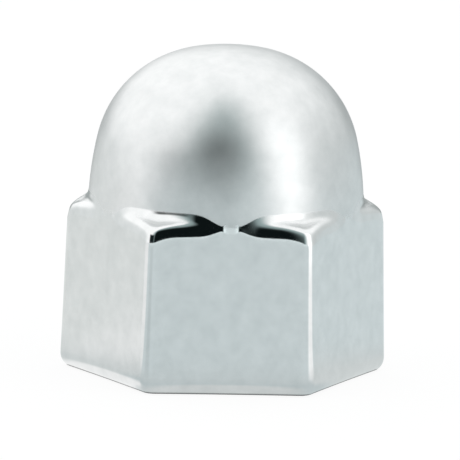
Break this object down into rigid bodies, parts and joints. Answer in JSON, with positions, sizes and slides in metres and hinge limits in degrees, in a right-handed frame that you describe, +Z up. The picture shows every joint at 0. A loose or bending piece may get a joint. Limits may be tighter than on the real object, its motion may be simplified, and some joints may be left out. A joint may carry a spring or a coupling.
{
  "type": "push-on nut cover",
  "caption": "Domed hexagonal cap in bright chrome-plated plastic that pushes over a hexagon nut; the socket has crush ribs and the hollow dome leaves room for the bolt end.",
  "frame": {"origin": "centre of the rim, on the plane that the rim stands on", "axes": "+Z up along the cover's axis to the top of the dome; two corners of the hexagon point along X and two flats face along Y"},
  "size_m": [0.0364, 0.032, 0.0365],
  "materials": {
    "chrome_plated_abs": "bright chrome plating over moulded plastic"
  },
  "bodies": {
    "root": {"nut_cover": "chrome_plated_abs"}
  },
  "joints": []
}
